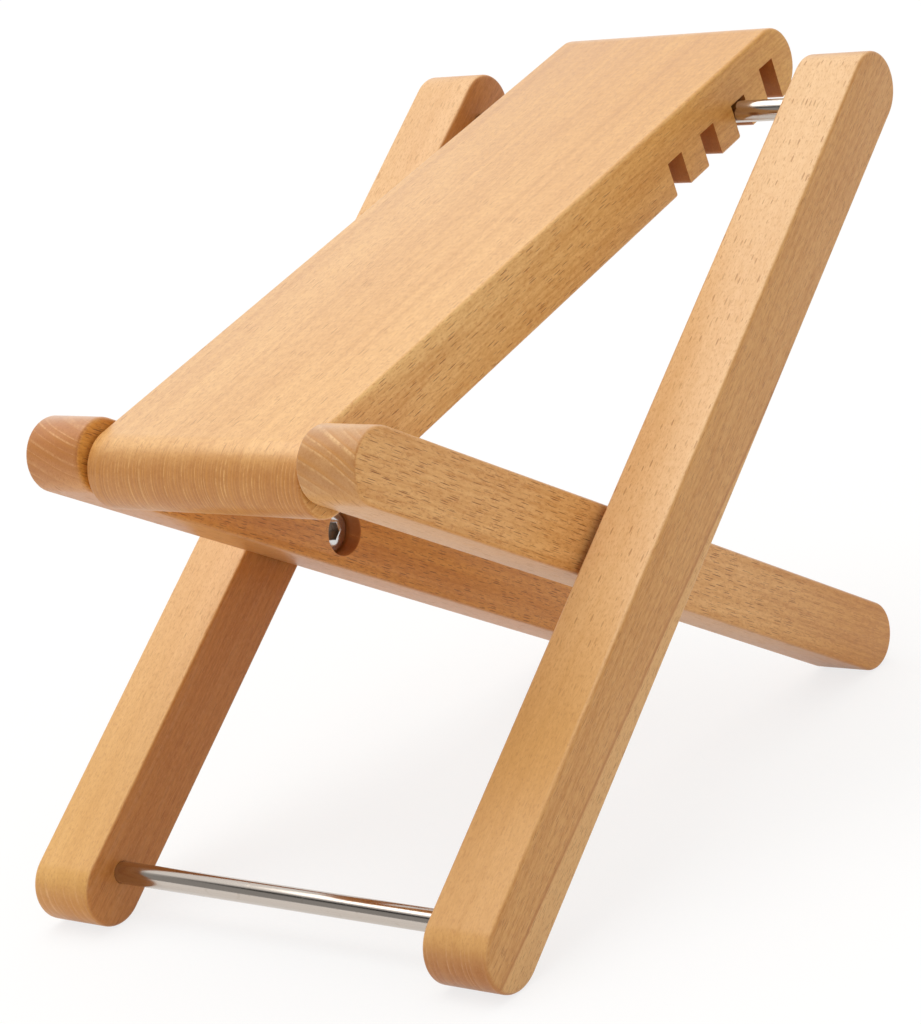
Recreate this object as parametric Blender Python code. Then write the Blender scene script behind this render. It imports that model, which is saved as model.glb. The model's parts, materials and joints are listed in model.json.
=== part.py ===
"""Folding beech footrest for a seated guitar player.

Two crossed frames turn on a pair of pivot bolts. The inner frame is two rails joined at their front
ends by a hinge rod, which also carries the footplate. The outer frame is two legs joined by two steel
rods. The upper rod seats in one of the slots under the footplate, and the slot sets the height.

The X axis runs across the footrest, Y towards its rear and Z up, with the floor at Z = 0.
"""
import math

import bmesh
import bpy
from mathutils import Matrix, Vector

MM = 0.001

# Clearances. FIT_GAP is kept between any two pieces that touch or turn on each other.
FIT_GAP = 0.3 * MM
SEAT_FRONT_GAP = 0.25 * MM
SLOT_PLAY = 1.2 * MM
WASHER_SIDE_GAP = 0.7 * MM
DRILL_POINT_GAP = 1.0 * MM
OVERCUT = 1.0 * MM

# How far the legs are opened from the rails when the support rod sits in the seated slot.
LEG_SPREAD = math.radians(68.2)

# Footplate board, with a full round at each end. It hinges on the centre of its front round.
PLATE_WIDTH = 75.8 * MM
PLATE_THICKNESS = 22.1 * MM
PLATE_EDGE_ROUND = 2.0 * MM

# Height slots across the underside, counted from the rear. The rearmost one is cut deeper, and its
# centre lies PLATE_REAR_MARGIN from the rear tip.
SLOT_COUNT = 4
SEATED_SLOT = 1
SLOT_PITCH = 18.2 * MM
SLOT_DEPTH = 10.65 * MM
REAR_SLOT_EXTRA_DEPTH = 2.8 * MM
SLOT_FRONT_ROUND = 0.6 * MM
SLOT_REAR_ROUND = 1.6 * MM
PLATE_REAR_MARGIN = 15.0 * MM

# Rails, the inner bars. The hinge lies in front of the pivot and below the rail's centre line.
RAIL_WIDTH = 19.75 * MM
RAIL_DEPTH = 20.9 * MM
RAIL_FOOT_REACH = 146.9 * MM
RAIL_NOSE_MARGIN = 14.1 * MM
HINGE_REACH = 96.7 * MM
HINGE_DROP = 2.3 * MM

# Legs, the outer bars, with the places of their two rods along them from the pivot. The pivot lies
# below the leg's centre line.
LEG_WIDTH = 21.5 * MM
LEG_DEPTH = 22.0 * MM
LEG_TOP_MARGIN = 16.8 * MM
LEG_FOOT_MARGIN = 16.0 * MM
LEG_PIVOT_DROP = 1.3 * MM
SUPPORT_ROD_REACH = 151.7 * MM
STRETCHER_ROD_REACH = 116.5 * MM
FRAME_EDGE_ROUND = 1.2 * MM

# Steel rods in blind sockets. Each wall is the wood left between a socket and the bar's outer face.
ROD_DIAMETER = 6.4 * MM
ROD_CHAMFER = 0.5 * MM
LEG_SOCKET_WALL = 7.5 * MM
RAIL_SOCKET_WALL = 7.75 * MM

# Pivot bolts with a hexagon socket, sunk in a counterbore in each rail's inner face.
BOLT_DIAMETER = 6.0 * MM
BOLT_HEAD_DIAMETER = 12.2 * MM
BOLT_HEAD_HEIGHT = 6.9 * MM
BOLT_CHAMFER = 0.6 * MM
BOLT_TIP_LENGTH = 1.5 * MM
HEX_ACROSS_FLATS = 5.0 * MM
HEX_DEPTH = 3.0 * MM
COUNTERBORE_WALL = 6.35 * MM
WASHER_DIAMETER = 12.6 * MM
WASHER_THICKNESS = 1.2 * MM
INSERT_WALL = 1.2 * MM
INSERT_LENGTH = 12.0 * MM
INSERT_SINK = 0.5 * MM

# Slip washers between the pieces that turn beside each other. They set the side gaps.
PLATE_SPACER_DIAMETER = 13.0 * MM
PLATE_SPACER_THICKNESS = 0.55 * MM
LEG_SPACER_DIAMETER = 17.0 * MM
LEG_SPACER_THICKNESS = 1.05 * MM

# Facets of round shapes.
END_STEPS = 20
ROUND_STEPS = 24
EDGE_STEPS = 2
SLOT_STEPS = 4
SHARP_ANGLE = math.radians(35.0)

SIDES = {"left": -1.0, "right": 1.0}

# Faces of the bars on the right-hand side, measured from the middle of the footrest.
PLATE_FACE = PLATE_WIDTH / 2
RAIL_INNER = PLATE_FACE + PLATE_SPACER_THICKNESS + 2 * FIT_GAP
RAIL_OUTER = RAIL_INNER + RAIL_WIDTH
LEG_INNER = RAIL_OUTER + LEG_SPACER_THICKNESS + 2 * FIT_GAP
LEG_OUTER = LEG_INNER + LEG_WIDTH

# Along the bolt: counterbore floor, washer, head, then the insert and the drilled hole in the leg.
COUNTERBORE_FLOOR = RAIL_OUTER - COUNTERBORE_WALL
WASHER_OUTER = COUNTERBORE_FLOOR - FIT_GAP
WASHER_INNER = WASHER_OUTER - WASHER_THICKNESS
HEAD_SEAT = WASHER_INNER - FIT_GAP
HEAD_TOP = HEAD_SEAT - BOLT_HEAD_HEIGHT
INSERT_MOUTH = LEG_INNER + INSERT_SINK
INSERT_END = INSERT_MOUTH + INSERT_LENGTH
BOLT_TIP = INSERT_END + BOLT_TIP_LENGTH
LEG_HOLE_END = BOLT_TIP + DRILL_POINT_GAP

PLATE_RADIUS = PLATE_THICKNESS / 2
RAIL_RADIUS = RAIL_DEPTH / 2
LEG_RADIUS = LEG_DEPTH / 2
ROD_RADIUS = ROD_DIAMETER / 2
ROD_BORE_RADIUS = ROD_RADIUS + FIT_GAP
BOLT_RADIUS = BOLT_DIAMETER / 2
BOLT_BORE_RADIUS = BOLT_RADIUS + FIT_GAP
INSERT_RADIUS = BOLT_BORE_RADIUS + INSERT_WALL


def swing(point, angle):
    """Point of the side view, (y, z), turned about the origin so that +Y rises by angle."""
    return Matrix.Rotation(angle, 2) @ point


# Places in the side view from the pivot, along each bar and up from it.
RAIL_NOSE_REACH = HINGE_REACH + RAIL_NOSE_MARGIN
LEG_TOP_REACH = SUPPORT_ROD_REACH + LEG_TOP_MARGIN
LEG_FOOT_REACH = STRETCHER_ROD_REACH + LEG_FOOT_MARGIN
HINGE_IN_RAIL = Vector((-HINGE_REACH, -HINGE_DROP))
RAIL_NOSE = Vector((RAIL_RADIUS - RAIL_NOSE_REACH, 0.0))
RAIL_FOOT = Vector((RAIL_FOOT_REACH - RAIL_RADIUS, 0.0))
SUPPORT_IN_LEG = Vector((SUPPORT_ROD_REACH, LEG_PIVOT_DROP))
STRETCHER_IN_LEG = Vector((-STRETCHER_ROD_REACH, LEG_PIVOT_DROP))
LEG_TOP = Vector((LEG_TOP_REACH - LEG_RADIUS, LEG_PIVOT_DROP))
LEG_FOOT = Vector((LEG_RADIUS - LEG_FOOT_REACH, LEG_PIVOT_DROP))

# The line from the hinge to the support rod fixes the footplate's angle to the rails and the place
# of the seated slot along the footplate.
HINGE_TO_ROD = swing(SUPPORT_IN_LEG, LEG_SPREAD) - HINGE_IN_RAIL
SLOT_WIDTH = ROD_DIAMETER + SLOT_PLAY
ROD_SEAT_HEIGHT = SLOT_DEPTH - PLATE_RADIUS - FIT_GAP - ROD_RADIUS
ROD_SEAT_REACH = math.sqrt(HINGE_TO_ROD.length_squared - ROD_SEAT_HEIGHT ** 2)
PLATE_SPREAD = math.atan2(HINGE_TO_ROD.y, HINGE_TO_ROD.x)
PLATE_SPREAD -= math.atan2(ROD_SEAT_HEIGHT, ROD_SEAT_REACH)
SEATED_SLOT_REACH = ROD_SEAT_REACH - ROD_RADIUS - SEAT_FRONT_GAP + SLOT_WIDTH / 2
REAR_SLOT_REACH = SEATED_SLOT_REACH + SEATED_SLOT * SLOT_PITCH
PLATE_REAR_REACH = REAR_SLOT_REACH + PLATE_REAR_MARGIN

# The floor touches the round feet of rails and legs, which fixes how far the rails slope.
FOOT_LINE = RAIL_FOOT - swing(LEG_FOOT, LEG_SPREAD)
RAIL_TILT = -math.atan2(FOOT_LINE.y, FOOT_LINE.x)
RAIL_TILT -= math.asin((LEG_RADIUS - RAIL_RADIUS) / FOOT_LINE.length)
LEG_TILT = RAIL_TILT + LEG_SPREAD
PLATE_TILT = RAIL_TILT + PLATE_SPREAD

# World places of the pivot and the hinge. The origin is on the floor under the middle.
HINGE_STEP = swing(HINGE_IN_RAIL, RAIL_TILT)
PLATE_REAR = HINGE_STEP + swing(Vector((PLATE_REAR_REACH - PLATE_RADIUS, 0.0)), PLATE_TILT)
FRONT_END = min(
    swing(LEG_FOOT, LEG_TILT).x - LEG_RADIUS,
    swing(RAIL_NOSE, RAIL_TILT).x - RAIL_RADIUS,
    HINGE_STEP.x - PLATE_RADIUS,
)
REAR_END = max(
    swing(LEG_TOP, LEG_TILT).x + LEG_RADIUS,
    swing(RAIL_FOOT, RAIL_TILT).x + RAIL_RADIUS,
    PLATE_REAR.x + PLATE_RADIUS,
)
PIVOT = Vector((0.0, -(FRONT_END + REAR_END) / 2, LEG_RADIUS - swing(LEG_FOOT, LEG_TILT).y))
HINGE = PIVOT + Vector((0.0, *HINGE_STEP))


def make_material(name, colour, roughness, metallic):
    material = bpy.data.materials.new(name)
    material.use_nodes = True
    shader = material.node_tree.nodes["Principled BSDF"]
    shader.inputs["Base Color"].default_value = (*colour, 1.0)
    shader.inputs["Roughness"].default_value = roughness
    shader.inputs["Metallic"].default_value = metallic
    return material


def make_frame(name, place, tilt):
    """Empty on a joint's axis, which carries the pieces that turn together."""
    frame = bpy.data.objects.new(name, None)
    frame.location = place
    frame.rotation_euler = (tilt, 0.0, 0.0)
    bpy.context.collection.objects.link(frame)
    return frame


def shade(mesh):
    mesh.shade_smooth()
    mesh.set_sharp_from_angle(angle=SHARP_ANGLE)


def add_piece(name, shape, frame, material=None):
    """Turn a bmesh into a named object, with its mesh in the frame's coordinates."""
    bmesh.ops.remove_doubles(shape, verts=shape.verts, dist=0.0001 * MM)
    bmesh.ops.recalc_face_normals(shape, faces=shape.faces)
    mesh = bpy.data.meshes.new(name)
    shape.to_mesh(mesh)
    shape.free()
    shade(mesh)
    if material:
        mesh.materials.append(material)
    piece = bpy.data.objects.new(name, mesh)
    piece.parent = frame
    bpy.context.collection.objects.link(piece)
    return piece


def cut(piece, shape):
    """Take a shape away from a piece, and mark the edges that the cut leaves."""
    cutter = add_piece("cutter", shape, piece.parent)
    boolean = piece.modifiers.new("cut", "BOOLEAN")
    boolean.operation = "DIFFERENCE"
    boolean.solver = "EXACT"
    boolean.object = cutter
    evaluated = piece.evaluated_get(bpy.context.evaluated_depsgraph_get())
    mesh = bpy.data.meshes.new_from_object(evaluated)
    mesh.name = piece.name
    piece.modifiers.clear()
    piece.data = mesh
    shade(mesh)
    bpy.data.objects.remove(cutter, do_unlink=True)


def arc(centre_y, centre_z, radius, start, end, steps):
    """Points of an arc in the side view, its angles in degrees from the +Y direction."""
    points = []
    for step in range(steps + 1):
        angle = math.radians(start + (end - start) * step / steps)
        points.append((centre_y + radius * math.cos(angle), centre_z + radius * math.sin(angle)))
    return points


def round_ended(front, rear, radius):
    """Side outline of a bar with a full half-round about each of two points."""
    return arc(*front, radius, 90.0, 270.0, END_STEPS) + arc(*rear, radius, -90.0, 90.0, END_STEPS)


def prism(outline, x_start, x_end, edge_round=0.0):
    """Side outline carried across from x_start to x_end, with its two rims rounded over."""
    shape = bmesh.new()
    rim = [shape.verts.new((x_start, y, z)) for y, z in outline]
    cap = shape.faces.new(rim)
    swept = bmesh.ops.extrude_face_region(shape, geom=[cap])["geom"]
    moved = [item for item in swept if isinstance(item, bmesh.types.BMVert)]
    bmesh.ops.translate(shape, verts=moved, vec=(x_end - x_start, 0.0, 0.0))
    bmesh.ops.recalc_face_normals(shape, faces=shape.faces)
    if edge_round:
        rims = [edge for edge in shape.edges if edge.verts[0].co.x == edge.verts[1].co.x]
        bmesh.ops.bevel(
            shape, geom=rims, offset=edge_round, offset_type="OFFSET", segments=EDGE_STEPS,
            profile=0.5, affect="EDGES",
        )
    return shape


def turned(profile, centre, closed=False):
    """Profile of (x, radius) points spun about a line along X through centre, a (y, z) point."""
    axis_point = Vector((0.0, *centre))
    shape = bmesh.new()
    points = [shape.verts.new(axis_point + Vector((x, 0.0, radius))) for x, radius in profile]
    ends = points[1:] + points[:1] if closed else points[1:]
    edges = [shape.edges.new(pair) for pair in zip(points, ends)]
    bmesh.ops.spin(
        shape, geom=points + edges, cent=axis_point, axis=(1.0, 0.0, 0.0),
        angle=2 * math.pi, steps=ROUND_STEPS, use_merge=True,
    )
    return shape


def solid_round(x_start, x_end, radius, centre):
    return turned([(x_start, 0.0), (x_start, radius), (x_end, radius), (x_end, 0.0)], centre)


def ring(x_start, x_end, bore_radius, radius, centre):
    profile = [(x_start, bore_radius), (x_start, radius), (x_end, radius), (x_end, bore_radius)]
    return turned(profile, centre, closed=True)


def slot_outline(reach, depth):
    """Side outline of one slot, eased at its mouth, most on the rear wall where the rod slides out."""
    underside = -PLATE_RADIUS
    front = reach - SLOT_WIDTH / 2
    rear = reach + SLOT_WIDTH / 2
    front_lip = front - SLOT_FRONT_ROUND
    rear_lip = rear + SLOT_REAR_ROUND
    front_ease = arc(front_lip, underside + SLOT_FRONT_ROUND, SLOT_FRONT_ROUND, -90.0, 0.0, SLOT_STEPS)
    rear_ease = arc(rear_lip, underside + SLOT_REAR_ROUND, SLOT_REAR_ROUND, 180.0, 270.0, SLOT_STEPS)
    roof = [(front, underside + depth), (rear, underside + depth)]
    below = [(rear_lip, underside - OVERCUT), (front_lip, underside - OVERCUT)]
    return front_ease + roof + rear_ease + below


def make_footplate(frame, wood):
    outline = round_ended((0.0, 0.0), (PLATE_REAR_REACH - PLATE_RADIUS, 0.0), PLATE_RADIUS)
    board = prism(outline, -PLATE_FACE, PLATE_FACE, PLATE_EDGE_ROUND)
    plate = add_piece("footplate", board, frame, wood)
    cut_end = PLATE_FACE + OVERCUT
    for index in range(SLOT_COUNT):
        reach = REAR_SLOT_REACH - index * SLOT_PITCH
        depth = SLOT_DEPTH + (REAR_SLOT_EXTRA_DEPTH if index == 0 else 0.0)
        cut(plate, prism(slot_outline(reach, depth), -cut_end, cut_end))
    cut(plate, solid_round(-cut_end, cut_end, ROD_BORE_RADIUS, (0.0, 0.0)))


def make_rail(side, sign, frame, wood):
    outline = round_ended(RAIL_NOSE, RAIL_FOOT, RAIL_RADIUS)
    bar = prism(outline, sign * RAIL_INNER, sign * RAIL_OUTER, FRAME_EDGE_ROUND)
    rail = add_piece(f"rail_{side}", bar, frame, wood)
    mouth = sign * (RAIL_INNER - OVERCUT)
    counterbore_radius = WASHER_DIAMETER / 2 + WASHER_SIDE_GAP
    cut(rail, solid_round(mouth, sign * COUNTERBORE_FLOOR, counterbore_radius, (0.0, 0.0)))
    cut(rail, solid_round(mouth, sign * (RAIL_OUTER + OVERCUT), BOLT_BORE_RADIUS, (0.0, 0.0)))
    socket_end = sign * (RAIL_OUTER - RAIL_SOCKET_WALL)
    cut(rail, solid_round(mouth, socket_end, ROD_BORE_RADIUS, HINGE_IN_RAIL))


def make_leg(side, sign, frame, wood):
    outline = round_ended(LEG_FOOT, LEG_TOP, LEG_RADIUS)
    bar = prism(outline, sign * LEG_INNER, sign * LEG_OUTER, FRAME_EDGE_ROUND)
    leg = add_piece(f"leg_{side}", bar, frame, wood)
    mouth = sign * (LEG_INNER - OVERCUT)
    cut(leg, solid_round(mouth, sign * LEG_HOLE_END, INSERT_RADIUS + FIT_GAP, (0.0, 0.0)))
    socket_end = sign * (LEG_OUTER - LEG_SOCKET_WALL)
    for centre in (SUPPORT_IN_LEG, STRETCHER_IN_LEG):
        cut(leg, solid_round(mouth, socket_end, ROD_BORE_RADIUS, centre))


def make_rod(name, socket_end, centre, frame, steel):
    """Round rod with chamfered ends, stopping just short of the bottoms of its two sockets."""
    end = socket_end - FIT_GAP
    profile = [
        (-end, 0.0),
        (-end, ROD_RADIUS - ROD_CHAMFER),
        (ROD_CHAMFER - end, ROD_RADIUS),
        (end - ROD_CHAMFER, ROD_RADIUS),
        (end, ROD_RADIUS - ROD_CHAMFER),
        (end, 0.0),
    ]
    add_piece(name, turned(profile, centre), frame, steel)


def make_pivot_bolt(side, sign, frame, steel):
    head_radius = BOLT_HEAD_DIAMETER / 2
    profile = [
        (HEAD_TOP, 0.0),
        (HEAD_TOP, head_radius - BOLT_CHAMFER),
        (HEAD_TOP + BOLT_CHAMFER, head_radius),
        (HEAD_SEAT, head_radius),
        (HEAD_SEAT, BOLT_RADIUS),
        (BOLT_TIP - BOLT_CHAMFER, BOLT_RADIUS),
        (BOLT_TIP, BOLT_RADIUS - BOLT_CHAMFER),
        (BOLT_TIP, 0.0),
    ]
    sided = [(sign * x, radius) for x, radius in profile]
    bolt = add_piece(f"pivot_bolt_{side}", turned(sided, (0.0, 0.0)), frame, steel)
    hexagon = arc(0.0, 0.0, HEX_ACROSS_FLATS / math.sqrt(3.0), 0.0, 300.0, 5)
    cut(bolt, prism(hexagon, sign * (HEAD_TOP - OVERCUT), sign * (HEAD_TOP + HEX_DEPTH)))


def make_pivot_rings(side, sign, frame, finishes):
    """Washer, threaded insert and slip washer of one pivot, all round its bolt."""
    sizes = {
        "bolt_washer": (WASHER_INNER, WASHER_OUTER, WASHER_DIAMETER / 2),
        "threaded_insert": (INSERT_MOUTH, INSERT_END, INSERT_RADIUS),
        "leg_spacer": (RAIL_OUTER + FIT_GAP, LEG_INNER - FIT_GAP, LEG_SPACER_DIAMETER / 2),
    }
    for name, (inner_face, outer_face, radius) in sizes.items():
        shape = ring(sign * inner_face, sign * outer_face, BOLT_BORE_RADIUS, radius, (0.0, 0.0))
        add_piece(f"{name}_{side}", shape, frame, finishes[name])


def make_plate_spacer(side, sign, frame, nylon):
    inner_face = sign * (PLATE_FACE + FIT_GAP)
    outer_face = sign * (RAIL_INNER - FIT_GAP)
    radius = PLATE_SPACER_DIAMETER / 2
    shape = ring(inner_face, outer_face, ROD_BORE_RADIUS, radius, HINGE_IN_RAIL)
    add_piece(f"footplate_spacer_{side}", shape, frame, nylon)


for old in list(bpy.data.objects):
    bpy.data.objects.remove(old, do_unlink=True)

finishes = {
    "footplate": make_material("footplate beech", (0.80, 0.53, 0.28), 0.45, 0.0),
    "rail": make_material("rail beech", (0.72, 0.45, 0.22), 0.48, 0.0),
    "leg": make_material("leg beech", (0.77, 0.50, 0.26), 0.46, 0.0),
    "rod": make_material("bright rod steel", (0.78, 0.77, 0.75), 0.16, 1.0),
    "pivot_bolt": make_material("bolt steel", (0.60, 0.60, 0.59), 0.28, 1.0),
    "bolt_washer": make_material("washer steel", (0.55, 0.55, 0.54), 0.35, 1.0),
    "threaded_insert": make_material("insert brass", (0.70, 0.55, 0.27), 0.35, 1.0),
    "leg_spacer": make_material("slip washer nylon", (0.85, 0.83, 0.78), 0.50, 0.0),
}

rail_frame = make_frame("rail_frame", PIVOT, RAIL_TILT)
leg_frame = make_frame("leg_frame", PIVOT, LEG_TILT)
plate_frame = make_frame("plate_frame", HINGE, PLATE_TILT)

make_footplate(plate_frame, finishes["footplate"])
for side, sign in SIDES.items():
    make_rail(side, sign, rail_frame, finishes["rail"])
    make_leg(side, sign, leg_frame, finishes["leg"])
    make_pivot_bolt(side, sign, leg_frame, finishes["pivot_bolt"])
    make_pivot_rings(side, sign, leg_frame, finishes)
    make_plate_spacer(side, sign, rail_frame, finishes["leg_spacer"])

steel = finishes["rod"]
make_rod("hinge_rod", RAIL_OUTER - RAIL_SOCKET_WALL, HINGE_IN_RAIL, rail_frame, steel)
make_rod("support_rod", LEG_OUTER - LEG_SOCKET_WALL, SUPPORT_IN_LEG, leg_frame, steel)
make_rod("stretcher_rod", LEG_OUTER - LEG_SOCKET_WALL, STRETCHER_IN_LEG, leg_frame, steel)
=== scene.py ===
"""Looks of a folding beech footrest for a seated guitarist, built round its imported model."""
import json
import math

import bmesh
import bpy
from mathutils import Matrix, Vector


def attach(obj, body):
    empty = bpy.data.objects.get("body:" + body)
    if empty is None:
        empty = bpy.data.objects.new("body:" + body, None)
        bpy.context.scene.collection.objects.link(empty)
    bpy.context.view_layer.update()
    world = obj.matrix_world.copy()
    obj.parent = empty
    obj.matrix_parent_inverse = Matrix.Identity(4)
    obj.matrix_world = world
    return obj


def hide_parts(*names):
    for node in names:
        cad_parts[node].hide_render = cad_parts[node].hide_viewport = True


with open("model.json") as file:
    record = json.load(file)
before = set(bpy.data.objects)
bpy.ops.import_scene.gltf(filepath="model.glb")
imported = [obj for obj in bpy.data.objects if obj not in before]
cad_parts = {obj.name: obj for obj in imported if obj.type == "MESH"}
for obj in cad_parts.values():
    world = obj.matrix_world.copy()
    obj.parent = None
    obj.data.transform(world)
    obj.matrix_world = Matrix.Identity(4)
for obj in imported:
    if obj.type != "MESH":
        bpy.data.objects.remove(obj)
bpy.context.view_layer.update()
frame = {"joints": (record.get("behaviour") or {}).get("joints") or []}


# RAILS. The inner pair of bars, planed from beech, each end turned over to a full half-round and every
# edge eased with sandpaper. A counterbore in the inner face takes the pivot bolt's head, and a blind
# hole near the nose takes the hinge rod. Two thin coats of satin varnish.
MM = 0.001
pivot = Vector(frame["joints"][0]["pos_m"])
rail_tilt = math.radians(-31.7201)
rail_inner, rail_outer = 39.05 * MM, 58.8 * MM
rail_nose, rail_foot, rail_depth = -110.8 * MM, 146.9 * MM, 20.9 * MM
pivot_in_bar, hinge_in_rail = (0.0, 0.0), (-96.7 * MM, -2.3 * MM)
counterbore_floor, counterbore_radius, mouth_break = 52.45 * MM, 7.0 * MM, 0.35 * MM
bolt_hole, rod_hole, rail_rod_floor = 3.3 * MM, 3.24 * MM, 51.05 * MM
bar_easing = 1.2 * MM


def pick(piece, kind, wanted):
    """Select the edges or faces of the piece in edit mode that pass the test."""
    bpy.ops.mesh.select_mode(type=kind)
    bpy.ops.mesh.select_all(action="DESELECT")
    shape = bmesh.from_edit_mesh(piece.data)
    for item in shape.edges if kind == "EDGE" else shape.faces:
        item.select_set(wanted(item))
    bmesh.update_edit_mesh(piece.data)


def hold(piece):
    """Make the piece the active one, and the only one that is selected."""
    bpy.ops.object.select_all(action="DESELECT")
    piece.select_set(True)
    bpy.context.view_layer.objects.active = piece


def edit(piece):
    """Take the piece into edit mode."""
    hold(piece)
    bpy.ops.object.mode_set(mode="EDIT")


def middle(edge):
    return (edge.verts[0].co + edge.verts[1].co) / 2


def runs_across(edge):
    """An edge across the width of a bar."""
    return abs(edge.verts[0].co.x - edge.verts[1].co.x) > 5 * MM


def is_rim(edge):
    """An edge between a flat side of a bar and its outline."""
    sides = sorted(abs(face.normal.x) for face in edge.link_faces)
    return sides[0] < 0.5 and sides[-1] > 0.99


def planed_bar(name, low, high):
    """Bar along Y from corner to corner, its two ends turned over and its rims eased."""
    bpy.ops.object.select_all(action="DESELECT")
    bpy.ops.mesh.primitive_cube_add(size=1.0, location=(Vector(low) + Vector(high)) / 2)
    bar = bpy.context.object
    bar.name = bar.data.name = name
    bar.scale = Vector(high) - Vector(low)
    bpy.ops.object.transform_apply(location=True, rotation=False, scale=True)
    edit(bar)
    pick(bar, "EDGE", runs_across)
    bpy.ops.mesh.bevel(offset=(high[2] - low[2]) / 2, segments=26, profile=0.5, clamp_overlap=True)
    bpy.ops.mesh.select_all(action="SELECT")
    bpy.ops.mesh.remove_doubles(threshold=0.01 * MM)
    pick(bar, "EDGE", is_rim)
    bpy.ops.mesh.bevel(offset=bar_easing, segments=5, profile=0.5)
    bpy.ops.object.mode_set(mode="OBJECT")
    return bar


def take_away(piece, cutter):
    """Cut one shape out of a piece, and clear the cutter away."""
    hold(piece)
    cut = piece.modifiers.new("cut", "BOOLEAN")
    cut.operation = "DIFFERENCE"
    cut.solver = "EXACT"
    cut.object = cutter
    bpy.ops.object.modifier_apply(modifier=cut.name)
    bpy.data.objects.remove(cutter, do_unlink=True)


def turned_blank(start, end, radius, centre, facets):
    """Plain cylinder along X, from which round pieces and drills are made."""
    bpy.ops.object.select_all(action="DESELECT")
    bpy.ops.mesh.primitive_cylinder_add(
        vertices=facets, radius=radius, depth=abs(end - start), location=((start + end) / 2, *centre),
        rotation=(0.0, math.radians(90.0), 0.0),
    )
    bpy.ops.object.transform_apply(location=True, rotation=True, scale=True)
    return bpy.context.object


def drill(piece, start, end, radius, centre, mouth_easing=0.0):
    """Round hole along X from start to end, its mouth at the start broken with a countersink."""
    overcut = math.copysign(MM, end - start)
    take_away(piece, turned_blank(start - overcut, end, radius, centre, facets=56))
    if mouth_easing:
        edit(piece)
        hub = Vector((start, *centre))
        pick(piece, "EDGE", lambda edge: abs(edge.verts[0].co.x - start) < 0.01 * MM
             and abs(edge.verts[1].co.x - start) < 0.01 * MM
             and abs((middle(edge) - hub).length - radius) < 0.1 * MM)
        bpy.ops.mesh.bevel(offset=mouth_easing, segments=3, profile=0.5)
        bpy.ops.object.mode_set(mode="OBJECT")


def seat(piece, spot, tilt):
    """Turn and move the finished mesh to its place, and smooth its round faces."""
    hold(piece)
    piece.location = spot
    piece.rotation_euler = (tilt, 0.0, 0.0)
    bpy.ops.object.transform_apply(location=True, rotation=True, scale=True)
    bpy.ops.object.shade_smooth_by_angle(angle=math.radians(32.0))


def twin_of(piece, name):
    """Copy of a right-hand piece with a mesh of its own, mirrored to the left."""
    hold(piece)
    bpy.ops.object.duplicate(linked=False)
    twin = bpy.context.object
    twin.name = twin.data.name = name
    twin.scale = (-1.0, 1.0, 1.0)
    bpy.ops.object.transform_apply(location=False, rotation=False, scale=True)
    edit(twin)
    bpy.ops.mesh.select_all(action="SELECT")
    bpy.ops.mesh.normals_make_consistent(inside=False)
    bpy.ops.object.mode_set(mode="OBJECT")
    return twin


class Wire:
    """One socket of a finish that is being wired up. Sums on wires add Math nodes."""

    def __init__(self, socket):
        self.socket = socket

    def node(self, kind, inputs, output=0, **settings):
        """Add a node with its settings, then its values and links, and return one of its outputs."""
        tree = self.socket.id_data
        made = tree.nodes.new(kind)
        for name, value in settings.items():
            setattr(made, name, value)
        for name, value in inputs.items():
            if isinstance(value, Wire):
                tree.links.new(value.socket, made.inputs[name])
            else:
                made.inputs[name].default_value = value
        return Wire(made.outputs[output])

    def other(self, output):
        """Another output of the same node."""
        return Wire(self.socket.node.outputs[output])

    def feed(self, node, name):
        self.socket.id_data.links.new(self.socket, node.inputs[name])

    def math(self, operation, *values):
        return self.node("ShaderNodeMath", dict(enumerate(values)), operation=operation)

    def __add__(self, value):
        return self.math("ADD", self, value)

    def __sub__(self, value):
        return self.math("SUBTRACT", self, value)

    def __rsub__(self, value):
        return self.math("SUBTRACT", value, self)

    def __mul__(self, value):
        return self.math("MULTIPLY", self, value)

    def __truediv__(self, value):
        return self.math("DIVIDE", self, value)

    __radd__ = __add__
    __rmul__ = __mul__

    def step(self, low, high):
        """0 below low and 1 above high, eased between them."""
        return self.node(
            "ShaderNodeMapRange", {"Value": self, "From Min": low, "From Max": high},
            interpolation_type="SMOOTHSTEP",
        )

    def stretched(self, scale, shift=(0.0, 0.0, 0.0)):
        return self.node("ShaderNodeMapping", {"Vector": self, "Scale": scale, "Location": shift})

    def noise(self, detail=2.0, roughness=0.5):
        return self.node(
            "ShaderNodeTexNoise",
            {"Vector": self, "Scale": 1.0, "Detail": detail, "Roughness": roughness},
        )

    def between(self, first, second):
        """Colour that goes from the first to the second as this value goes from 0 to 1."""
        return self.node("ShaderNodeMix", {0: self, 6: first, 7: second}, 2, data_type="RGBA")

    def tinted(self, colour, factor, blend="MIX"):
        """This colour with another laid over it, by a factor that may be a wire."""
        return self.node(
            "ShaderNodeMix", {0: factor, 6: self, 7: colour}, 2, data_type="RGBA", blend_type=blend
        )


def blank_finish(name):
    """New material, its shader, and a wire that gives each point's place in metres."""
    material = bpy.data.materials.new(name)
    material.use_nodes = True
    nodes = material.node_tree.nodes
    place = Wire(nodes.new("ShaderNodeTexCoord").outputs["Object"])
    return material, nodes["Principled BSDF"], place


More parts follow.
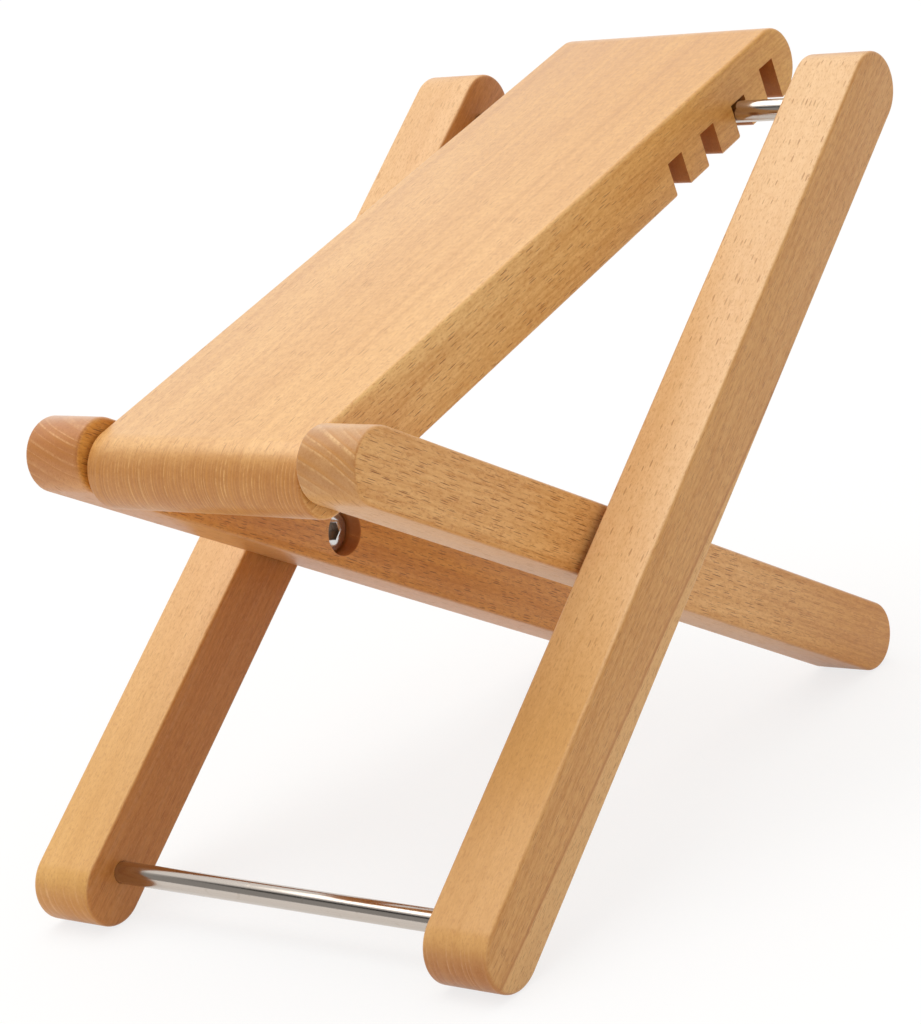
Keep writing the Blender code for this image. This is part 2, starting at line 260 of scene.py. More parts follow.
def beech(name, spot, tilt, tone, pith, ring, ends, dash, showing, silver, side_light_and_shade, butt, seed,
          stripy=1.0, gloss=0.70, painted_shade_stretch=None, sawn=None, sap=None):
    """Varnished beech as a solid pattern: rings about the pith, short dark rays, fibres along Y.

    In millimetres: pith is where the middle of the tree lies in the cross-section and ring the growth of
    a year. ends is how strongly the rings show on the end grain. dash is how far apart the rays stand
    across, along and through, and the share of that which a ray takes up. showing is how dark they are
    on the broad faces and on the sides, and silver how strongly flecks show on the broad faces. flanks
    are painted light and shade laid over the right and the left side, and butt the stain of the end
    grain. stripy is how strongly the broad stripes show, and gloss how much more varnish the upper faces
    have. heart is the stretch of the bar over which the colour deepens and reddens and the rays die out,
    as painted shade and a fading painted sheen, its tint there, and how much of that reaches the sides.
    sawn is the stretch where cuts across the grain are left bare and darker, partly as bare end grain
    and partly as painted shade in the slots and counterbores. sap is the height on a side where pale
    sapwood begins, and how fast that height climbs along the bar.
    """
    material, shader, place = blank_finish(name)
    wood = place.node(
        "ShaderNodeMapping",
        {"Vector": place, "Location": spot, "Rotation": (tilt, 0.0, 0.0), "Scale": (MM, MM, MM)},
        vector_type="TEXTURE",
    )
    plain = wood.node("ShaderNodeSeparateXYZ", {"Vector": wood})
    along = plain.other("Y")
    facing = place.other("Normal")
    facing = facing.node(
        "ShaderNodeMapping", {"Vector": facing, "Rotation": (tilt, 0.0, 0.0)}, vector_type="TEXTURE"
    )
    facing = facing.node("ShaderNodeSeparateXYZ", {"Vector": facing})
    right_face, left_face = facing.step(0.45, 0.90), (0 - facing).step(0.45, 0.90)
    side_face = right_face + left_face
    end_face = facing.math("ABSOLUTE", facing.other("Y")).step(0.30, 0.90)
    top_face = facing.other("Z").step(0.40, 0.90)

    # Slow sway of the fibres, and then how far out from the pith a point lies.
    sway = wood.stretched((0.022, 0.006, 0.022), (seed, seed * 0.7, seed * 1.3)).noise(2.0)
    swayed = wood.node(
        "ShaderNodeVectorMath", {0: sway.other("Color"), 1: (5.0, 0.0, 5.0), 2: wood},
        operation="MULTIPLY_ADD",
    )
    spread = swayed.node("ShaderNodeSeparateXYZ", {"Vector": swayed})
    across, through = spread - pith[0], spread.other("Z") - pith[1]
    out = across.math("SQRT", across * across + through * through)

    # Growth rings: no two years alike, each ending in a thin pale line with a dark start behind it.
    years = out.node(
        "ShaderNodeTexNoise", {"W": out * (0.55 / ring) + seed, "Scale": 1.0, "Detail": 1.0},
        noise_dimensions="1D",
    )
    grown = out / ring + years * 1.5
    year = grown.math("FRACT", grown)
    line = year.step(0.70, 0.90) * (1 - year.step(0.92, 1.0))
    start = 1 - year.step(0.0, 0.45)
    whole = grown.math("FLOOR", grown)
    strength = whole.node("ShaderNodeTexWhiteNoise", {"W": whole}, noise_dimensions="1D")
    broken = wood.stretched((0.7, 0.7, 0.28), (seed, 0.0, seed)).noise(2.0).step(0.36, 0.60)
    line = line * (0.35 + 0.65 * strength) * (0.25 + 0.75 * broken)
    bands = out.node(
        "ShaderNodeTexNoise", {"W": out * (0.45 / ring) + seed * 3, "Scale": 1.0, "Detail": 2.0},
        noise_dimensions="1D",
    )

    # Fibres and pores drawn out along the grain, long fine lines, broad stripes, a slow change of tone,
    # and the small uneven flecks of a quarter-sawn face, which lie across the grain.
    fibres = wood.stretched((1.4, 0.34, 1.4), (seed * 2, seed, seed)).noise(4.0, 0.65)
    pores = wood.stretched((2.2, 0.70, 2.2), (seed, seed, 0.0)).noise(2.0, 0.6)
    lines = swayed.stretched((1.1, 0.028, 1.1), (seed, seed * 3, 0.0)).noise(2.0)
    stripes = wood.stretched((0.16, 0.008, 0.16), (seed * 4, seed, 0.0)).noise(2.0)
    flecks = wood.stretched((0.30, 0.62, 0.30), (seed, seed * 2, 0.0)).noise(4.0, 0.72)
    cloud = wood.stretched((0.05, 0.014, 0.05), (seed * 5, 0.0, 0.0)).noise(2.0)

    # Rays, cut across as short dark dashes of different lengths, set out on each face.
    beside = spread * (1 - side_face) / dash[0] + spread.other("Z") * side_face / dash[2] + seed
    lens = beside.node("ShaderNodeCombineXYZ", {"X": beside, "Y": along / dash[1]})
    lens = lens.node(
        "ShaderNodeTexVoronoi", {"Vector": lens, "Scale": 1.0, "Randomness": 0.8},
        voronoi_dimensions="2D",
    )
    chance = lens.node("ShaderNodeSeparateColor", {"Color": lens.other("Color")})
    ray = 1 - ((lens + 0.06 * fibres - 0.03) / (0.8 * chance + 0.6) / dash[3]).step(0.70, 1.0)
    ray = ray * (0.45 + 0.55 * chance.other("Blue"))
    few = chance.other("Green").step(0.50, 0.60)
    ray_shows = (showing[0] * few * (1 - side_face) + showing[1] * side_face) * (1 - end_face)

    def stained(red, green, blue):
        return (tone[0] * red, tone[1] * green, tone[2] * blue, 1.0)

    # Colours of this board, from pale early wood to the dark of the rays, and how they are laid on.
    pale, deep = stained(1.10, 1.15, 1.25), stained(0.80, 0.66, 0.48)
    cream, rust = stained(1.18, 1.36, 1.75), stained(0.66, 0.46, 0.30)
    umber, brown = stained(0.52, 0.34, 0.20), stained(0.36, 0.22, 0.12)
    raw_and_shade_stain = (0.84, 0.78, 0.80, 1.0)
    shade = (fibres.step(0.34, 0.68) * (0.20 + 0.18 * side_face) + 0.21 * (1.0 - stripy)
             + bands.step(0.35, 0.75) * (0.22 * stripy) + stripes.step(0.32, 0.70) * (0.20 * stripy)
             + cloud.step(0.30, 0.70) * 0.15
             + lines.step(0.38, 0.68) * (0.04 + 0.30 * side_face)
             + flecks.step(0.40, 0.62) * silver * (1 - side_face))
    colour = shade.between(pale, deep)
    if sap:
        height = plain.other("Z") - sap[0] - along * sap[1] + 2.4 * sway
        edge = height.step(-0.3, 0.3) * (1 - height.step(0.3, 1.4)) * side_face
        colour = colour.tinted(cream, (1 - height.step(-0.6, 0.3)) * 0.62 * side_face)
        colour = colour.tinted(rust, edge * 0.65)
    # Painted light and shade: each side face is multiplied by its own tint, darkest on inner faces that lie
    # in shade.
    colour = colour.tinted((*side_light_and_shade[0], 1.0), right_face, "MULTIPLY")
    colour = colour.tinted((*side_light_and_shade[1], 1.0), left_face, "MULTIPLY")
    colour = colour.tinted((*butt, 1.0), end_face, "MULTIPLY")
    # Painted shade and sheen: over this stretch the colour deepens and reddens and the rays fade; on the
    # legs it paints a sheen on the upper faces that fades toward the feet.
    if painted_shade_stretch:
        red = along.step(painted_shade_stretch[0], painted_shade_stretch[1]) * (1 - side_face * (1.0 - painted_shade_stretch[3]))
        ray_shows = ray_shows * (1 - 0.75 * red)
        colour = colour.tinted((*painted_shade_stretch[2], 1.0), red, "MULTIPLY")
    ringed = end_face
    # Cuts across the grain in the slots and counterbores are darkened: bare end grain, and partly painted
    # shade in the recesses.
    if sawn:
        raw_and_shaded_cuts = end_face * along.step(sawn[0], sawn[0] + 0.5) * (1 - along.step(sawn[1] - 0.5, sawn[1]))
        colour = colour.tinted(raw_and_shade_stain, raw_and_shaded_cuts, "MULTIPLY")
        ringed = end_face - raw_and_shaded_cuts
    colour = colour.tinted(deep, start * 0.70 * ends * ringed)
    colour = colour.tinted(cream, line * (0.08 + 0.62 * ends * ringed) * fibres.step(0.15, 0.55))
    colour = colour.tinted(rust, pores.step(0.52, 0.66) * (0.42 + 0.08 * side_face))
    colour = colour.tinted(rust, end_face * side_face * fibres.step(0.30, 0.60) * 1.5)
    colour = colour.tinted(side_face.between(umber, brown), ray * ray_shows)
    colour.feed(shader, "Base Color")
    (0.36 + 0.12 * fibres + 0.14 * ray).feed(shader, "Roughness")
    (0.10 + gloss * top_face).feed(shader, "Coat Weight")
    relief = fibres * 0.6 + pores * 0.4 - ray * 0.8
    bump = relief.node("ShaderNodeBump", {"Height": relief, "Strength": 0.35, "Distance": 0.08 * MM})
    bump.feed(shader, "Normal")
    shader.inputs["IOR"].default_value = 1.5
    shader.inputs["Specular IOR Level"].default_value = 0.45
    shader.inputs["Coat Roughness"].default_value = 0.30
    return material


def dress(piece, material, body, node):
    """Give the piece its finish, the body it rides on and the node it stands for."""
    piece.data.materials.clear()
    piece.data.materials.append(material)
    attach(piece, body)
    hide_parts(node)


right_rail = planed_bar(
    "right_rail_bar", (rail_inner, rail_nose, -rail_depth / 2), (rail_outer, rail_foot, rail_depth / 2)
)
drill(right_rail, rail_inner, counterbore_floor, counterbore_radius, pivot_in_bar, mouth_break)
drill(right_rail, counterbore_floor, rail_outer + MM, bolt_hole, pivot_in_bar)
drill(right_rail, rail_inner, rail_rod_floor, rod_hole, hinge_in_rail)
seat(right_rail, pivot, rail_tilt)
left_rail = twin_of(right_rail, "left_rail_bar")
dress(
    right_rail,
    beech("right rail beech", pivot, rail_tilt, tone=(0.76, 0.42, 0.145), pith=(1.0, -88.0), ring=2.9,
          ends=1.2, dash=(1.6, 11.0, 0.60, 0.17), showing=(0.50, 1.0), silver=0.10,
          side_light_and_shade=((1.05, 1.08, 1.15), (1.0, 0.92, 0.80)), butt=(0.78, 0.72, 0.76), seed=3.1,
          painted_shade_stretch=(55.0, 135.0, (0.80, 0.64, 0.35), 1.0), sawn=(-7.3, 7.3)),
    "rails", "rail_right",
)
dress(
    left_rail,
    beech("left rail beech", pivot, rail_tilt, tone=(0.69, 0.33, 0.105), pith=(-17.0, 89.0), ring=2.4,
          ends=1.3, dash=(1.6, 9.0, 0.74, 0.18), showing=(0.50, 0.80), silver=0.10,
          side_light_and_shade=((1.06, 1.01, 0.60), (1.10, 1.22, 1.35)), butt=(0.81, 0.69, 0.62), seed=8.4,
          sawn=(-7.3, 7.3)),
    "rails", "rail_left",
)


# HINGE ROD. Bright drawn steel rod with chamfered ends, pushed through the footplate's front round and
# glued into the blind holes of both rails, which it also ties together.
rod_radius, rod_chamfer, rod_end_ring, glue_gap = 3.2 * MM, 0.5 * MM, 1.4 * MM, 0.3 * MM


def steel_rod(name, hole_floor, centre, spot, tilt):
    """Rod with chamfered ends that stop just short of the floors of its two holes."""
    end = hole_floor - glue_gap
    rod = turned_blank(-end, end, rod_radius, centre, facets=72)
    rod.name = rod.data.name = name
    edit(rod)
    pick(rod, "FACE", lambda face: abs(face.normal.x) > 0.9)
    bpy.ops.mesh.bevel(offset=rod_chamfer, segments=3, profile=0.5)
    pick(rod, "FACE", lambda face: abs(face.normal.x) > 0.999)
    bpy.ops.mesh.inset(thickness=rod_end_ring, use_individual=True)
    bpy.ops.object.mode_set(mode="OBJECT")
    seat(rod, spot, tilt)
    return rod


def bright_steel(name, tone, roughness, draw, socket=None):
    """Bare steel, with fine marks of drawing or turning along one axis and a few dull spots.

    socket is the radius round the pivot within which walls are rougher, and darkened as painted shade
    inside the hexagon socket.
    """
    material, shader, place = blank_finish(name)
    marks = place.stretched(tuple(1000 * value for value in draw)).noise(2.0, 0.6)
    dull = place.stretched((420.0, 420.0, 420.0)).noise(3.0).step(0.60, 0.78)
    darker = (*(0.82 * value for value in tone), 1.0)
    colour = (marks * 0.5).between((*tone, 1.0), darker)
    dull_stain, socket_shade_stain = (0.80, 0.76, 0.70, 1.0), (0.46, 0.40, 0.34, 1.0)
    colour = colour.tinted(dull_stain, dull * 0.35, "MULTIPLY")
    rough = roughness + 0.10 * marks + 0.12 * dull
    if socket:
        reach = place.node("ShaderNodeVectorMath", {0: place, 1: pivot}, operation="SUBTRACT")
        reach = reach.node("ShaderNodeVectorMath", {0: reach, 1: (0.0, 1.0, 1.0)}, operation="MULTIPLY")
        reach = reach.node("ShaderNodeVectorMath", {0: reach}, "Value", operation="LENGTH")
        facing = place.node("ShaderNodeSeparateXYZ", {"Vector": place.other("Normal")})
        is_wall = 1 - facing.math("ABSOLUTE", facing).step(0.2, 0.5)
        # Painted shade inside the hexagon socket, with rougher walls.
        shaded_socket_walls = is_wall * (1 - reach.step(socket, socket + 0.05 * MM))
        colour = colour.tinted(socket_shade_stain, shaded_socket_walls, "MULTIPLY")
        rough = rough + 0.30 * shaded_socket_walls
    colour.feed(shader, "Base Color")
    rough.feed(shader, "Roughness")
    bump = marks.node("ShaderNodeBump", {"Height": marks, "Strength": 0.12, "Distance": 0.02 * MM})
    bump.feed(shader, "Normal")
    shader.inputs["Metallic"].default_value = 1.0
    return material


# Painted reflection: the rods' steel is toned warm brown, standing in for the beech they mirror.
rod_finish = bright_steel(
    "bright rod steel", tone=(0.60, 0.535, 0.475), roughness=0.10, draw=(0.03, 2.5, 2.5)
)
hinge_rod = steel_rod("front_hinge_rod", rail_rod_floor, hinge_in_rail, pivot, rail_tilt)
dress(hinge_rod, rod_finish, "rails", "hinge_rod")


# FOOTPLATE. A thick quarter-sawn beech board, both ends turned over to a full half-round so that it can
# turn between the rails. Four slots are milled across the underside, the last one deeper, and the mouth
# of each is rounded on the rear wall, where the rod slides in and out.
hinge = Vector(frame["joints"][1]["pos_m"])
plate_tilt = math.radians(12.7602)
plate_half, plate_depth, plate_rear, hinge_bore = 37.9 * MM, 22.1 * MM, 242.518 * MM, 3.5 * MM
slot_count, slot_width, slot_pitch, slot_depth = 4, 7.6 * MM, 18.2 * MM, 10.65 * MM
rear_slot, rear_slot_deeper = 227.518 * MM, 2.8 * MM
front_lip, rear_lip, hinge_in_plate = 0.7 * MM, 1.6 * MM, (0.0, 0.0)


def mill_slot(board, reach, depth):
    """Slot across the underside, with a small round at its front lip and a large one at its rear lip."""
    under = -plate_depth / 2
    bpy.ops.object.select_all(action="DESELECT")
    bpy.ops.mesh.primitive_cube_add(size=1.0, location=(0.0, reach, under + depth / 2))
    cutter = bpy.context.object
    cutter.scale = (2 * plate_half + 4 * MM, slot_width, depth)
    bpy.ops.object.transform_apply(location=True, rotation=False, scale=True)
    edit(cutter)
    pick(cutter, "FACE", lambda face: face.normal.z < -0.9)
    bpy.ops.mesh.extrude_region_move(TRANSFORM_OT_translate={"value": (0.0, 0.0, -MM)})
    lips = ((-1.0, front_lip), (1.0, rear_lip))
    for sign, lip in lips:
        pick(cutter, "FACE", lambda face: face.normal.y * sign > 0.9
             and face.calc_center_median().z < under)
        bpy.ops.mesh.extrude_region_move(TRANSFORM_OT_translate={"value": (0.0, sign * lip, 0.0)})
    bpy.ops.mesh.select_all(action="SELECT")
    bpy.ops.mesh.dissolve_limited(angle_limit=math.radians(1.0))
    for sign, lip in lips:
        pick(cutter, "EDGE", lambda edge: runs_across(edge) and abs(middle(edge).z - under) < 0.01 * MM
             and abs(middle(edge).y - reach - sign * slot_width / 2) < 0.01 * MM)
        bpy.ops.mesh.bevel(offset=lip, segments=7, profile=0.5, clamp_overlap=True)
    bpy.ops.mesh.select_all(action="SELECT")
    bpy.ops.mesh.remove_doubles(threshold=0.005 * MM)
    bpy.ops.mesh.normals_make_consistent(inside=False)
    bpy.ops.object.mode_set(mode="OBJECT")
    take_away(board, cutter)


footplate = planed_bar(
    "footplate_board", (-plate_half, -plate_depth / 2, -plate_depth / 2),
    (plate_half, plate_rear, plate_depth / 2),
)
mill_slot(footplate, rear_slot, slot_depth + rear_slot_deeper)
for index in range(1, slot_count):
    mill_slot(footplate, rear_slot - index * slot_pitch, slot_depth)
drill(footplate, -plate_half - MM, plate_half + MM, hinge_bore, hinge_in_plate)
seat(footplate, hinge, plate_tilt)
dress(
    footplate,
    beech("footplate beech", hinge, plate_tilt, tone=(0.84, 0.465, 0.142), pith=(-190.0, 20.0), ring=1.3,
          ends=0.9, dash=(1.3, 12.0, 0.84, 0.13), showing=(0.65, 1.0), silver=0.20,
          side_light_and_shade=[(0.98, 1.08, 1.30)] * 2, butt=(0.70, 0.56, 0.50), seed=5.7,
          painted_shade_stretch=(90.0, 235.0, (0.91, 0.82, 0.53), 1.0), sawn=(160.0, 232.2)),
    "footplate", "footplate",
)


# FOOTPLATE SPACERS. Thin nylon slip washers on the hinge rod, one each side, which keep the footplate
# from rubbing on the rails.
slip_inner, slip_outer, slip_radius, slip_break = 38.2 * MM, 38.75 * MM, 6.5 * MM, 0.1 * MM


def turned_ring(name, start, end, bore, radius, centre, spot, tilt, easing):
    """Ring about an axis along X: a blank disc, opened by an inset and a bridge, its rims broken."""
    ring = turned_blank(start, end, radius, centre, facets=64)
    ring.name = ring.data.name = name
    edit(ring)
    pick(ring, "FACE", lambda face: abs(face.normal.x) > 0.9)
    bpy.ops.mesh.inset(thickness=radius - bore, use_individual=True)
    bpy.ops.mesh.bridge_edge_loops()
    pick(ring, "EDGE", is_rim)
    bpy.ops.mesh.bevel(offset=easing, segments=2, profile=0.5)
    bpy.ops.mesh.select_all(action="SELECT")
    bpy.ops.mesh.normals_make_consistent(inside=False)
    bpy.ops.object.mode_set(mode="OBJECT")
    seat(ring, spot, tilt)
    return ring


def moulded_nylon(name, tone):
    """Natural nylon: milky, with a faint cloud and a satin skin."""
    material, shader, place = blank_finish(name)
    cloud = place.stretched((260.0, 260.0, 260.0)).noise(3.0)
    darker = (*(0.88 * value for value in tone), 1.0)
    cloud.between((*tone, 1.0), darker).feed(shader, "Base Color")
    (0.42 + 0.16 * cloud).feed(shader, "Roughness")
    return material


nylon = moulded_nylon("natural nylon", (0.82, 0.79, 0.72))
right_slip = turned_ring(
    "right_footplate_slip_ring", slip_inner, slip_outer, hinge_bore, slip_radius, hinge_in_rail,
    pivot, rail_tilt, slip_break,
)
left_slip = twin_of(right_slip, "left_footplate_slip_ring")
dress(right_slip, nylon, "rails", "footplate_spacer_right")
dress(left_slip, nylon, "rails", "footplate_spacer_left")


# LEGS. The outer pair of bars, beech like the rails and a little heavier, with round feet and tops.
# Blind holes in the inner faces take the support rod, the stretcher rod and the threaded insert.
leg_tilt = math.radians(36.4799)
leg_inner, leg_outer = 60.45 * MM, 81.95 * MM
leg_foot, leg_top, leg_rise, leg_depth = -132.5 * MM, 168.5 * MM, 1.3 * MM, 22.0 * MM
support_in_leg, stretcher_in_leg = (151.7 * MM, leg_rise), (-116.5 * MM, leg_rise)
leg_rod_floor, insert_hole_floor, insert_hole = 74.45 * MM, 75.45 * MM, 4.8 * MM
right_leg = planed_bar(
    "right_leg_bar", (leg_inner, leg_foot, leg_rise - leg_depth / 2),
    (leg_outer, leg_top, leg_rise + leg_depth / 2),
)
drill(right_leg, leg_inner, insert_hole_floor, insert_hole, pivot_in_bar)
for rod_place in (support_in_leg, stretcher_in_leg):
    drill(right_leg, leg_inner, leg_rod_floor, rod_hole, rod_place)
seat(right_leg, pivot, leg_tilt)
left_leg = twin_of(right_leg, "left_leg_bar")
# The legs' pale tone, deepening toward the feet, is a painted sheen on their upper broad faces.
dress(
    right_leg,
    beech("right leg beech", pivot, leg_tilt, tone=(0.862, 0.545, 0.256), pith=(-160.0, 10.0), ring=2.2,
          ends=0.35, dash=(1.5, 7.0, 0.45, 0.16), showing=(0.80, 0.85), silver=0.08,
          side_light_and_shade=((0.77, 0.655, 0.460), (0.74, 0.57, 0.35)), butt=(0.64, 0.45, 0.29), seed=12.6,
          stripy=0.35, gloss=0.20, painted_shade_stretch=(-5.0, -80.0, (0.87, 0.76, 0.53), 0.0), sap=(-5.45, -0.05)),
    "leg_frame", "leg_right",
)
dress(
    left_leg,
    beech("left leg beech", pivot, leg_tilt, tone=(0.88, 0.535, 0.238), pith=(-240.0, -20.0), ring=2.2,
          ends=0.35, dash=(1.5, 7.0, 0.70, 0.18), showing=(0.45, 0.45), silver=0.08,
          side_light_and_shade=((0.635, 0.432, 0.203), (0.77, 0.69, 0.52)), butt=(0.79, 0.62, 0.42), seed=17.9,
          stripy=0.35, gloss=0.20, painted_shade_stretch=(10.0, -115.0, (0.91, 0.85, 0.58), 0.0)),
    "leg_frame", "leg_left",
)


# THREADED INSERTS. Turned brass sleeves, screwed into a blind hole in each leg's inner face until they sit
# just below it. The pivot bolts are tightened into them.
insert_mouth, insert_end, insert_radius, insert_break = 60.95 * MM, 72.95 * MM, 4.5 * MM, 0.25 * MM


def turned_brass(name, tone):
    """Bare brass with fine rings from the lathe, tarnished in patches."""
    material, shader, place = blank_finish(name)
    turning = place.stretched((2600.0, 90.0, 90.0)).noise(2.0)
    tarnish = place.stretched((300.0, 300.0, 300.0)).noise(3.0).step(0.50, 0.75)
    tarnished = (0.42, 0.30, 0.13, 1.0)
    (tarnish * 0.5).between((*tone, 1.0), tarnished).feed(shader, "Base Color")
    (0.24 + 0.16 * turning + 0.15 * tarnish).feed(shader, "Roughness")
    shader.inputs["Metallic"].default_value = 1.0
    return material


brass = turned_brass("insert brass", (0.78, 0.60, 0.29))
right_insert = turned_ring(
    "right_brass_insert", insert_mouth, insert_end, bolt_hole, insert_radius, pivot_in_bar,
    pivot, leg_tilt, insert_break,
)
left_insert = twin_of(right_insert, "left_brass_insert")
dress(right_insert, brass, "leg_frame", "threaded_insert_right")
dress(left_insert, brass, "leg_frame", "threaded_insert_left")


# LEG SPACERS. Wider slip washers of the same nylon on the pivot bolts, between each rail and its leg, which
# let the legs swing under tight bolts without rubbing on the rails.
wide_inner, wide_outer, wide_radius, wide_break = 59.1 * MM, 60.15 * MM, 8.5 * MM, 0.15 * MM
right_wide_slip = turned_ring(
    "right_leg_slip_ring", wide_inner, wide_outer, bolt_hole, wide_radius, pivot_in_bar,
    pivot, leg_tilt, wide_break,
)
left_wide_slip = twin_of(right_wide_slip, "left_leg_slip_ring")
dress(right_wide_slip, nylon, "leg_frame", "leg_spacer_right")
dress(left_wide_slip, nylon, "leg_frame", "leg_spacer_left")


# PIVOT BOLTS AND WASHERS. Zinc-plated steel screws with a hexagon socket, driven from the rails' inner
# faces through a plain washer in the counterbore, and tightened into the inserts.
head_top, head_seat, bolt_tip = 43.75 * MM, 50.65 * MM, 74.45 * MM
head_radius, shank_radius, bolt_chamfer = 6.1 * MM, 3.0 * MM, 0.6 * MM
hex_flats, hex_depth, hex_break = 5.0 * MM, 2.2 * MM, 0.2 * MM
hex_turn, hex_reach = math.radians(3.5), 2.95 * MM
washer_inner, washer_outer, washer_radius, washer_break = 50.95 * MM, 52.15 * MM, 6.3 * MM, 0.15 * MM


def socket_bolt(name, spot, tilt):
    """Head with a chamfered rim, then the shank drawn out of it and a hexagon sunk in the head's face."""
    bolt = turned_blank(head_top, head_seat, head_radius, pivot_in_bar, facets=60)
    bolt.name = bolt.data.name = name
    edit(bolt)
    pick(bolt, "EDGE", lambda edge: is_rim(edge) and middle(edge).x < head_top + 0.1 * MM)
    bpy.ops.mesh.bevel(offset=bolt_chamfer, segments=3, profile=0.5)
    pick(bolt, "FACE", lambda face: face.normal.x > 0.9)
    bpy.ops.mesh.inset(thickness=head_radius - shank_radius)
    bpy.ops.mesh.extrude_region_move(TRANSFORM_OT_translate={"value": (bolt_tip - head_seat, 0.0, 0.0)})
    pick(bolt, "EDGE", lambda edge: is_rim(edge) and middle(edge).x > bolt_tip - 0.1 * MM)
    bpy.ops.mesh.bevel(offset=bolt_chamfer, segments=2, profile=0.5)
    bpy.ops.object.mode_set(mode="OBJECT")
    hex_radius = hex_flats / math.sqrt(3.0)
    hexagon = turned_blank(
        head_top - hex_radius, head_top + hex_depth, hex_radius, pivot_in_bar, facets=6
    )
    hexagon.rotation_euler = (hex_turn, 0.0, 0.0)
    bpy.ops.object.transform_apply(location=True, rotation=True, scale=True)
    take_away(bolt, hexagon)
    edit(bolt)
    pick(bolt, "EDGE", lambda edge: is_rim(edge) and abs(middle(edge).x - head_top) < 0.01 * MM
         and middle(edge).yz.length < hex_radius + 0.3 * MM)
    bpy.ops.mesh.bevel(offset=hex_break, segments=2, profile=0.5)
    bpy.ops.object.mode_set(mode="OBJECT")
    seat(bolt, spot, tilt)
    return bolt


zinc = bright_steel(
    "bright zinc", tone=(0.68, 0.67, 0.66), roughness=0.10, draw=(0.6, 0.6, 0.6), socket=hex_reach
)
right_bolt = socket_bolt("right_socket_bolt", pivot, leg_tilt)
left_bolt = twin_of(right_bolt, "left_socket_bolt")
dress(right_bolt, zinc, "leg_frame", "pivot_bolt_right")
dress(left_bolt, zinc, "leg_frame", "pivot_bolt_left")
right_washer = turned_ring(
    "right_bolt_ring", washer_inner, washer_outer, bolt_hole, washer_radius, pivot_in_bar,
    pivot, leg_tilt, washer_break,
)
left_washer = twin_of(right_washer, "left_bolt_ring")
dress(right_washer, zinc, "leg_frame", "bolt_washer_right")
dress(left_washer, zinc, "leg_frame", "bolt_washer_left")


# SUPPORT ROD AND STRETCHER ROD. Two more lengths of the bright rod, glued into the legs. The upper one
# carries the footplate in one of its slots, the lower one ties the feet.
support_rod = steel_rod("upper_support_rod", leg_rod_floor, support_in_leg, pivot, leg_tilt)
stretcher_rod = steel_rod("lower_stretcher_rod", leg_rod_floor, stretcher_in_leg, pivot, leg_tilt)
dress(support_rod, rod_finish, "leg_frame", "support_rod")
dress(stretcher_rod, rod_finish, "leg_frame", "stretcher_rod")


# FLOOR. A wide sheet of white paper. It shows white to the camera and in the steel, and keeps a pale
# shadow of the footrest.
white, bounced_white = (1.0, 1.0, 1.0, 1.0), (0.80, 0.75, 0.67, 1.0)
sheet_side, sheet_drop, sheet_glow = 16.0, 0.2 * MM, 0.78
bpy.ops.object.select_all(action="DESELECT")
bpy.ops.mesh.primitive_plane_add(size=sheet_side, location=(0.0, 0.0, -sheet_drop))
floor = bpy.context.object
floor.name = floor.data.name = "paper_floor"
paper = bpy.data.materials.new("white paper")
paper.use_nodes = True
paper_nodes = paper.node_tree.nodes
paper_shader = paper_nodes["Principled BSDF"]
paper_shader.inputs["Roughness"].default_value = 0.9
paper_shader.inputs["Specular IOR Level"].default_value = 0.0


def seen(tree):
    """1 for rays that show the picture's background: from the camera, in gloss and through glass."""
    path = Wire(tree.nodes.new("ShaderNodeLightPath").outputs["Is Camera Ray"])
    either = path.math("MAXIMUM", path, path.other("Is Glossy Ray"))
    return either.math("MAXIMUM", either, path.other("Is Transmission Ray"))


shown = seen(paper.node_tree)
shown.between(bounced_white, white).feed(paper_shader, "Base Color")
glow = shown.node("ShaderNodeEmission", {"Color": white, "Strength": 1.0})
blend = shown.node(
    "ShaderNodeMixShader", {0: shown * sheet_glow, 1: Wire(paper_shader.outputs[0]), 2: glow}
)
blend.feed(paper_nodes["Material Output"], "Surface")
floor.data.materials.append(paper)


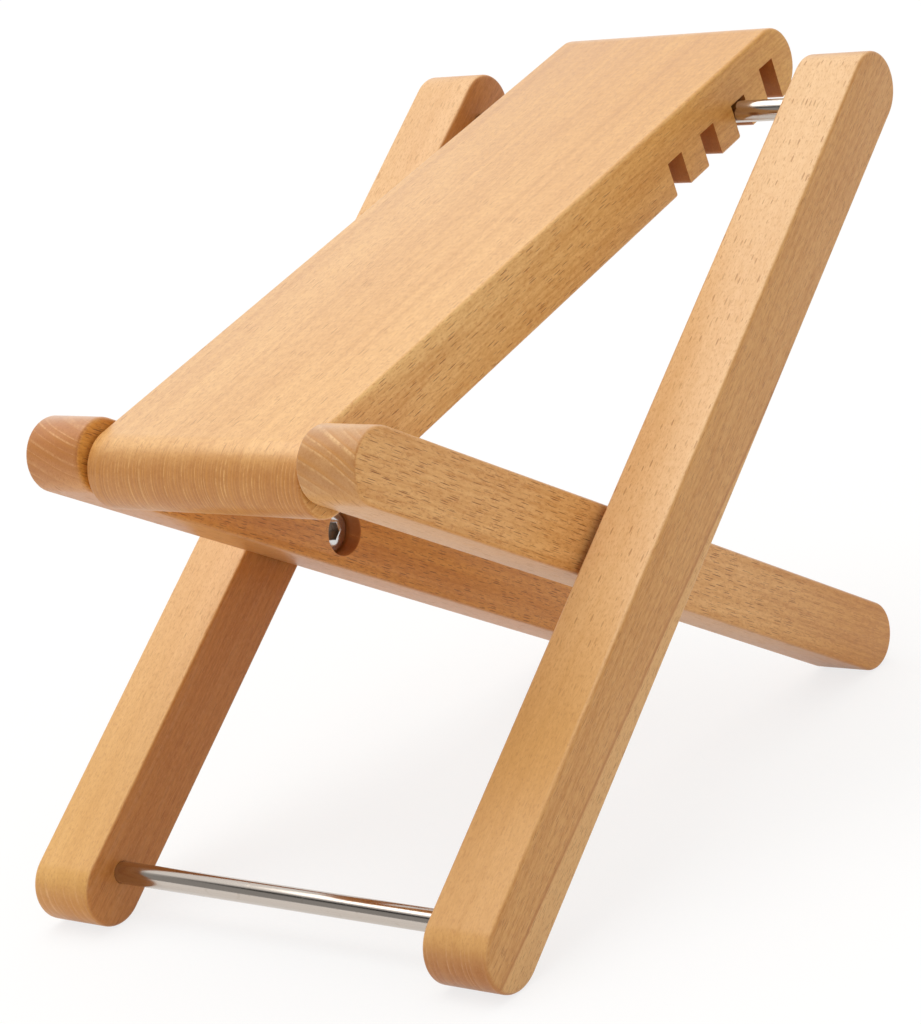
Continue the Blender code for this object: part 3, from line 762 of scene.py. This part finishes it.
# LIGHT. One broad soft lamp overhead and a little to the left, and an even pale room, which shows white.
# What the varnish and the steel mirror is white too, apart from the room's front side, which is dim, and
# darkest in a band above the camera.
lamp_direction, room_light, room_tone = Vector((-0.24, 0.02, 0.97)), 0.70, (1.0, 0.98, 0.955, 1.0)
lamp_data = bpy.data.lights.new("overhead", "SUN")
lamp_data.energy = 1.23
lamp_data.angle = math.radians(56.0)
lamp_data.color = (1.0, 0.985, 0.96)
lamp = bpy.data.objects.new("overhead", lamp_data)
bpy.context.scene.collection.objects.link(lamp)
lamp.rotation_euler = lamp_direction.to_track_quat("Z", "Y").to_euler()
room = bpy.data.worlds.new("pale room")
bpy.context.scene.world = room
room.use_nodes = True
room_seen = seen(room.node_tree)
toward = Wire(room.node_tree.nodes.new("ShaderNodeTexCoord").outputs["Generated"])
toward = toward.node("ShaderNodeSeparateXYZ", {"Vector": toward})
upward = toward.other("Z")
front_side = (0 - toward.other("Y")).step(0.12, 0.40)
dim = front_side * (1 - upward.step(0.64, 0.78)) * (0.65 + 0.32 * upward.step(0.50, 0.58))
backdrop = room.node_tree.nodes["Background"]
mirrored = Wire(room.node_tree.nodes.new("ShaderNodeLightPath").outputs["Is Glossy Ray"])
room_seen.between(room_tone, white).feed(backdrop, "Color")
(room_light + (1.0 - room_light) * room_seen - dim * mirrored).feed(backdrop, "Strength")


# CAMERA. In front of the footrest, to its right and a little above it, with a long lens that keeps the bars
# nearly parallel. The shift sets the footrest where it stands in the picture.
camera_data = bpy.data.cameras.new("camera")
camera_data.sensor_fit = "HORIZONTAL"
camera_data.sensor_width = 36.0
camera_data.lens = 124.501
camera_data.shift_x = 0.0022437
camera_data.shift_y = 0.0413521
camera = bpy.data.objects.new("camera", camera_data)
camera.location = (0.57311, -0.66741, 0.34571)
camera.rotation_euler = tuple(math.radians(value) for value in (72.455, 10.713, 38.098))
bpy.context.scene.collection.objects.link(camera)
bpy.context.scene.camera = camera
bpy.context.scene.view_settings.view_transform = "Standard"
